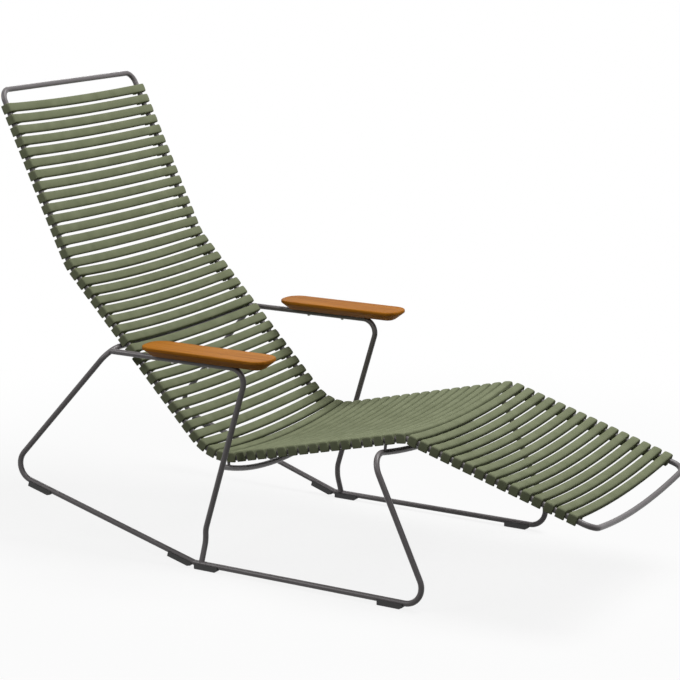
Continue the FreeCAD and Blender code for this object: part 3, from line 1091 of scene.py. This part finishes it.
    def build(self, bench: Bench, plastic: bpy.types.Material, seat: SeatFrame) -> None:
        """Makes the slats, one object for each stretch of the seat frame.

        A slat's points are place + x heading + y sideways + z normal, for all slats of a stretch at once.

        Args:
            bench: Where pieces are put in place.
            plastic: Their material.
            seat: The seat frame that they clip on.
        """
        grid = self.pattern(seat)
        points, faces = capped_grid(grid)
        where = self.places(seat)
        stretch = np.searchsorted(seat.bend_middles(), where)
        for number, zone in enumerate(self.zones):
            place, heading = seat.stations(where[stretch == number])
            normal = np.cross(heading, SIDEWAYS)
            moved = (
                place[:, None]
                + points[None, :, :1] * heading[:, None]
                + points[None, :, 1:2] * SIDEWAYS
                + points[None, :, 2:] * normal[:, None]
            )
            offsets = np.arange(len(place)) * len(points)
            all_faces = [[corner + int(offset) for corner in face] for offset in offsets for face in faces]
            surface = (moved.reshape(-1, 3), all_faces)
            bench.place(f"{zone}_moulded", surface, plastic, Slot.SLATS, [zone], sharp=50.0)


@dataclass
class Armrests:
    """The wooden boards on the arm tubes, and the screws that hold them."""

    length: float = 330.0
    width: float = 84.0
    thickness: float = 24.0
    centre_x: float = 32.0
    corner: float = 36.0
    edge: float = 7.0             # height of the upright edge, under the top
    bevel: float = 22.0           # how far in the slope under that edge runs
    ease: float = 3.0
    edge_ease: float = 1.6
    under_ease: float = 2.0
    top_margin: float = 10.0
    under_margin: float = 4.0
    screw_offset: float = 95.0    # from the front screw back to the rear one
    screw_radius: float = 3.9
    screw_height: float = 2.6
    screw_root: float = 1.2       # how far a head reaches up into the tube
    socket: tuple[float, float] = (0.5, -0.3)    # its radius and bottom, as shares of the head's size
    screw_points: int = 36

    def board(self, arms: Arms) -> Surface:
        """The left board: a section carried round a rounded rectangle.

        Points are plan point - outward normal times inset, at the section's height.

        Args:
            arms: The arm tubes that the boards lie on.

        Returns:
            The points and the faces.
        """
        x, y = self.length / 2, self.width / 2
        corners = [(0.0, -y), (x, -y), (x, y), (-x, y), (-x, -y), (0.0, -y)]
        plan = bent_line(corners, [self.corner] * 4)[:-1]
        deep = self.bevel + self.under_margin
        top, edge = self.thickness, self.thickness - self.edge
        section = [(self.top_margin, top), (0.0, top), (0.0, edge), (self.bevel, 0.0), (deep, 0.0)]
        section = bent_line(section, [self.ease, self.edge_ease, self.under_ease], step=15.0)
        flat = plan[None] - outward_normals(plan)[None] * section[:, None, :1]
        height = np.repeat(section[:, 1:2, None], len(plan), axis=1)
        grid = np.concatenate([flat, height], axis=-1)
        grid = grid + np.array([self.centre_x, arms.half_span, arms.height + arms.tube_radius])
        return capped_grid(grid)

    def screw(self, x: float, arms: Arms) -> Surface:
        """A raised screw head with a hexagon socket, under the left arm tube.

        The head's section (radius, depth), given as shares of its radius and height, is turned about Z. In
        the socket the radius is r cos(30 degrees) / cos(a), where a is the angle from the middle of the
        nearest flat, which makes a hexagon of the circle.

        Args:
            x: Where the screw lies.
            arms: The arm tubes.

        Returns:
            The points and the faces.
        """
        size = np.array([self.screw_radius, self.screw_height])
        root = np.array([(self.screw_radius, self.screw_root)])
        dome = np.array([(1.0, -0.3), (0.85, -0.8), (0.55, -1.0), (self.socket[0], -1.0)]) * size
        section = np.concatenate([root, dome])
        socket = np.array([self.socket]) * size
        t = np.linspace(0.0, 2 * math.pi, self.screw_points, endpoint=False)
        half_flat = math.pi / 6
        hexagon = math.cos(half_flat) / np.cos((t + half_flat) % (2 * half_flat) - half_flat)
        round_rings = section[:-1, :1] * np.ones_like(t)
        flat_rings = np.concatenate([section[-1:, :1], socket[:, :1]]) * hexagon
        radius = np.concatenate([round_rings, flat_rings])
        depth = np.concatenate([section[:, 1], socket[:, 1]])[:, None] * np.ones_like(t)
        grid = np.stack([radius * np.cos(t), radius * np.sin(t), depth], axis=-1)
        under_tube = np.array([x, arms.half_span, arms.height - arms.tube_radius])
        return capped_grid(grid + under_tube)

    def build(self, bench: Bench, wood: bpy.types.Material, zinc: bpy.types.Material, arms: Arms) -> None:
        """Makes the boards and their screws.

        Args:
            bench: Where pieces are put in place.
            wood: The boards' material.
            zinc: The screws' material.
            arms: The arm tubes that they lie on.
        """
        board = self.board(arms)
        for side in Side:
            node = side.node("armrest")
            bench.place(f"{node}_board", side.version_of(board), wood, Slot.WOOD, [node], sharp=35.0)
            for place, offset in (("rear", -self.screw_offset), ("front", 0.0)):
                screw = side.version_of(self.screw(self.centre_x + offset, arms))
                bench.place(side.node(f"{place}_armrest_screw"), screw, zinc, Slot.STEEL)


@dataclass
class Glides:
    """The channels that clip round the underside of the runners."""

    length: float = 62.0
    width: float = 18.0
    clearance: float = 0.3
    nose: float = 8.0             # length of the sole's rising end
    nose_rise: float = 5.0
    sole_corner: float = 2.5
    rim: float = 0.9
    lip_corner: float = 0.6
    seat_points: int = 9
    kink_gap: float = 4.0         # between the kink and the glides beside it
    bend_gap: float = 1.0         # between a bend and the glide beside it

    def pattern(self, base: Base) -> np.ndarray:
        """One glide as a grid about the runner's centre line, its heel at X = 0 and its nose at +X.

        The outline is a half circle round the runner, two lips and a flat sole with round corners. Over the
        nose's length, the sole rises in a straight line.

        Args:
            base: The hoops that the glides clip on.

        Returns:
            Grid points as rows, columns and coordinates.
        """
        half, sole = self.width / 2, -base.runner_height
        angles = np.radians(np.linspace(-90.0, 0.0, self.seat_points))
        radius = base.tube_radius + self.clearance
        seat = np.stack([radius * np.cos(angles), radius * np.sin(angles)], axis=1)
        corners = [seat[-1], (half, 0.0), (half, sole), (0.0, sole)]
        wall = bent_line(corners, [self.lip_corner, self.sole_corner], SMALL_CORNER_STEP)
        one_side = np.concatenate([seat[:-1], wall])
        outline = np.concatenate([one_side, one_side[1:-1][::-1] * np.array([-1.0, 1.0])])
        rim = np.full(len(outline), self.rim)
        nose_start = self.length / 2 - self.nose
        grid = rounded_extrusion(outline, self.length, rim, np.zeros(len(outline)), [nose_start])
        rise = np.maximum(grid[..., 0] - nose_start, 0.0) * self.nose_rise / self.nose
        grid[..., 2] = np.maximum(grid[..., 2], sole + rise)
        grid[..., 0] += self.length / 2
        return grid

    def on_runner(self, grid: np.ndarray, start: np.ndarray, end: np.ndarray, distance: float) -> np.ndarray:
        """The pattern moved on to a straight runner.

        Args:
            grid: The pattern.
            start: The runner's corner at the heel's side.
            end: The runner's corner at the nose's side.
            distance: From the first corner to the glide's heel.

        Returns:
            The grid in the drawing's frame.
        """
        ahead = unit(end - start)
        sideways = unit(np.cross(UP, ahead))
        upwards = np.cross(ahead, sideways)
        origin = start + ahead * distance
        return origin + grid[..., :1] * ahead + grid[..., 1:2] * sideways + grid[..., 2:] * upwards

    def build(self, bench: Bench, plastic: bpy.types.Material, base: Base) -> None:
        """Makes the eight glides.

        Args:
            bench: Where pieces are put in place.
            plastic: Their material.
            base: The hoops that they clip on.
        """
        grid = self.pattern(base)
        kink, toe, heel = base.kink(), base.toe(), base.heel_corner()
        toe_bend = base.bend * math.tan(turn_between(kink, toe, base.front_shoulder()) / 2)
        heel_bend = base.bend * math.tan(turn_between(kink, heel, base.rear_shoulder()) / 2)
        rear_length = float(np.linalg.norm(heel - kink))
        placed = {
            "toe_glide": (kink, toe, base.toe_x - toe_bend - self.bend_gap - self.length),
            "front_kink_glide": (kink, toe, self.kink_gap),
            "rear_kink_glide": (heel, kink, rear_length - self.kink_gap - self.length),
            "heel_glide": (heel, kink, heel_bend + self.bend_gap),
        }
        for name, (start, end, distance) in placed.items():
            channel = capped_grid(self.on_runner(grid, start, end, distance))
            for side in Side:
                node = side.node(name)
                bench.place(f"{node}_channel", side.version_of(channel), plastic, Slot.GLIDES, [node])


# Studio


@dataclass(frozen=True)
class Lamp:
    """A soft square lamp: its place and side in metres, and its power in watts."""

    name: str
    place: tuple[float, float, float]
    side: float
    power: float


@dataclass
class Studio:
    """Floor, lights and camera: places in metres, focal length and sensor in millimetres."""

    camera_place: tuple[float, float, float] = (2.2839, -3.9730, 1.5157)
    camera_ahead: tuple[float, float, float] = (-0.489906, 0.843150, -0.221563)
    focal_length: float = 108.98
    sensor: float = 36.0
    shift: tuple[float, float] = (0.0165, 0.0068)
    clip_end: float = 500.0
    floor_radius: float = 6.0
    floor_points: int = 96
    floor_drop: float = 0.0005
    floor_bounce: str = "#424240"
    floor_seen: str = "#ffffff"
    floor_glow: float = 0.86
    fade: tuple[float, float] = (0.8, 2.0)    # where the floor's fade to white starts and ends
    daylight: float = 0.06
    aim: tuple[float, float, float] = (0.0, 0.0, 0.35)
    lamps: tuple[Lamp, ...] = (
        Lamp("key", (1.05, 0.5, 3.4), 1.8, 87.0),
        Lamp("far rim", (-2.2, 2.4, 2.2), 1.0, 12.0),
        Lamp("head side", (-2.2, -2.8, 2.6), 1.2, 36.0),
        Lamp("camera side", (1.6, -3.8, 2.4), 1.0, 9.0),
    )

    def make_floor_paint(self) -> bpy.types.Material:
        """Makes a floor that keeps shadows near the lounge and, seen directly, fades to white away from it.

        Returns:
            The material.
        """
        material, tree = new_material("painted_floor")
        where = add_node(tree, "ShaderNodeTexCoord").outputs["Object"]
        away = add_node(tree, "ShaderNodeVectorMath", links={0: where}, operation="LENGTH").outputs["Value"]
        ends = {"From Min": self.fade[0], "From Max": self.fade[1], "To Min": self.floor_glow, "To Max": 1.0}
        glow = add_node(tree, "ShaderNodeMapRange", ends, {"Value": away}, interpolation_type="SMOOTHSTEP")
        seen = seen_directly(tree)
        both = {0: glow.outputs["Result"], 1: seen}
        share = add_node(tree, "ShaderNodeMath", links=both, operation="MULTIPLY").outputs["Value"]
        tints = {MIX_FIRST: linear(self.floor_bounce), MIX_SECOND: linear(self.floor_seen)}
        tint = add_node(tree, "ShaderNodeMix", tints, {MIX_SHARE: seen}, data_type="RGBA")
        paint = add_node(tree, "ShaderNodeBsdfDiffuse", links={"Color": tint.outputs[MIX_RESULT]})
        white = add_node(tree, "ShaderNodeEmission", {"Color": (1.0, 1.0, 1.0, 1.0), "Strength": 1.0})
        sockets = {"Fac": share, 1: paint.outputs["BSDF"], 2: white.outputs["Emission"]}
        mixed = add_node(tree, "ShaderNodeMixShader", links=sockets)
        add_node(tree, "ShaderNodeOutputMaterial", links={"Surface": mixed.outputs["Shader"]})
        return material

    def make_floor(self) -> None:
        """A wide pale disc, a hair under the glides."""
        t = np.linspace(0.0, 2 * math.pi, self.floor_points, endpoint=False)
        ring = np.stack([np.cos(t), np.sin(t), np.zeros_like(t)], axis=1) * self.floor_radius
        mesh = bpy.data.meshes.new("floor")
        mesh.from_pydata((ring - UP * self.floor_drop).tolist(), [], [list(range(len(t)))])
        mesh.materials.append(self.make_floor_paint())
        floor = bpy.data.objects.new("floor", mesh)
        bpy.context.scene.collection.objects.link(floor)

    def make_lamps(self) -> None:
        """Lamps that look at the middle of the lounge."""
        for lamp in self.lamps:
            light = bpy.data.lights.new(lamp.name, "AREA")
            light.shape = "SQUARE"
            light.size = lamp.side
            light.energy = lamp.power
            placed = bpy.data.objects.new(lamp.name, light)
            placed.location = lamp.place
            ahead = Vector(self.aim) - Vector(lamp.place)
            placed.rotation_euler = ahead.to_track_quat("-Z", "Y").to_euler()
            bpy.context.scene.collection.objects.link(placed)

    def make_daylight(self) -> None:
        """A white surround that the camera sees at full white, and that lights the lounge less."""
        world = bpy.data.worlds.new("daylight")
        world.use_nodes = True
        tree = world.node_tree
        tree.nodes.clear()
        ends = {"To Min": self.daylight, "To Max": 1.0}
        seen = add_node(tree, "ShaderNodeMapRange", ends, {"Value": seen_directly(tree)})
        values = {"Color": (1.0, 1.0, 1.0, 1.0)}
        background = add_node(tree, "ShaderNodeBackground", values, {"Strength": seen.outputs["Result"]})
        add_node(tree, "ShaderNodeOutputWorld", links={"Surface": background.outputs["Background"]})
        bpy.context.scene.world = world

    def make_camera(self) -> None:
        """The photograph's point of view and framing."""
        data = bpy.data.cameras.new("photograph")
        data.sensor_width = self.sensor
        data.lens = self.focal_length
        data.shift_x, data.shift_y = self.shift
        data.clip_end = self.clip_end
        camera = bpy.data.objects.new("photograph", data)
        camera.location = self.camera_place
        camera.rotation_euler = Vector(self.camera_ahead).to_track_quat("-Z", "Y").to_euler()
        bpy.context.scene.collection.objects.link(camera)
        bpy.context.scene.camera = camera

    def build(self) -> None:
        """Makes the whole studio."""
        self.make_floor()
        self.make_lamps()
        self.make_daylight()
        self.make_camera()
        bpy.context.scene.view_settings.view_transform = "Standard"


def main() -> None:
    """Builds the studio and then the lounge, piece by piece."""
    logging.basicConfig(level=logging.INFO, format="%(name)s: %(message)s")
    Studio().build()
    steel = PowderCoatedSteel().make()
    olive = MouldedPolypropylene().make()
    wood = OiledHardwood().make()
    black = BlackPolyamide().make()
    zinc = ZincPlatedSteel().make()
    seat, arms, slats = SeatFrame(), Arms(), Slats()
    base = Base(back_angle=seat.lower_back[1])
    bench = Bench(base.joint_x)
    seat.build(bench, steel, slats.joint(seat))
    base.build(bench, steel)
    arms.build(bench, steel, base, slats.gaps(seat))
    slats.build(bench, olive, seat)
    Armrests().build(bench, wood, zinc, arms)
    Glides().build(bench, black, base)
    LOG.info("%d pieces placed", bench.made)


if __name__ == "__main__":
    main()
